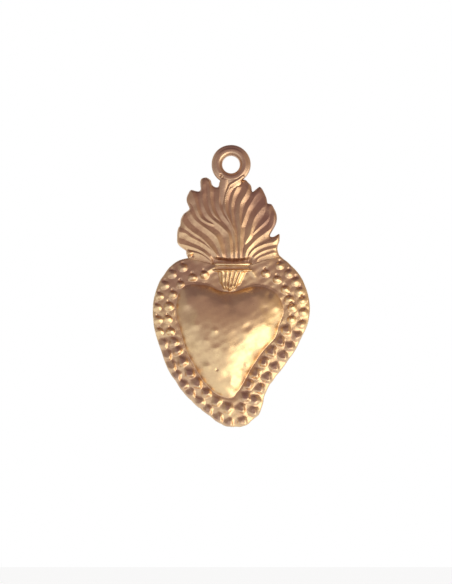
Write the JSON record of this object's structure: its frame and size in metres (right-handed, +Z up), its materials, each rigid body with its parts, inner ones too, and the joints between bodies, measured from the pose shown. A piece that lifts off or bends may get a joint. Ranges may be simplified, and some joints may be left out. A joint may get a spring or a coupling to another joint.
{
  "type": "milagro charm",
  "caption": "Small struck-brass sacred heart charm with a puffed hollow heart, beaded border, fan of flames, moulded collar and a hanging ring at the top.",
  "frame": {"origin": "centre of the hanging hole, halfway through the ring's thickness", "axes": "+Z up, from the heart's tail towards the ring; +Y out of the flat back, so the raised front looks along -Y; +X to the viewer's right"},
  "size_m": [0.0201, 0.0031, 0.036],
  "materials": {
    "struck_brass": "raw struck brass, rosy, tarnished in the hollows and rubbed bright on the crests",
    "flame_brass": "raw struck brass with darker valleys between bright crests",
    "collar_brass": "drawn brass moulding, worn bright",
    "ring_brass": "cast and filed brass, dull, bright on its bevel"
  },
  "bodies": {
    "root": {"heart_shell": "struck_brass", "flame_fan": "flame_brass", "collar_band": "collar_brass", "hanging_ring": "ring_brass"}
  },
  "joints": []
}
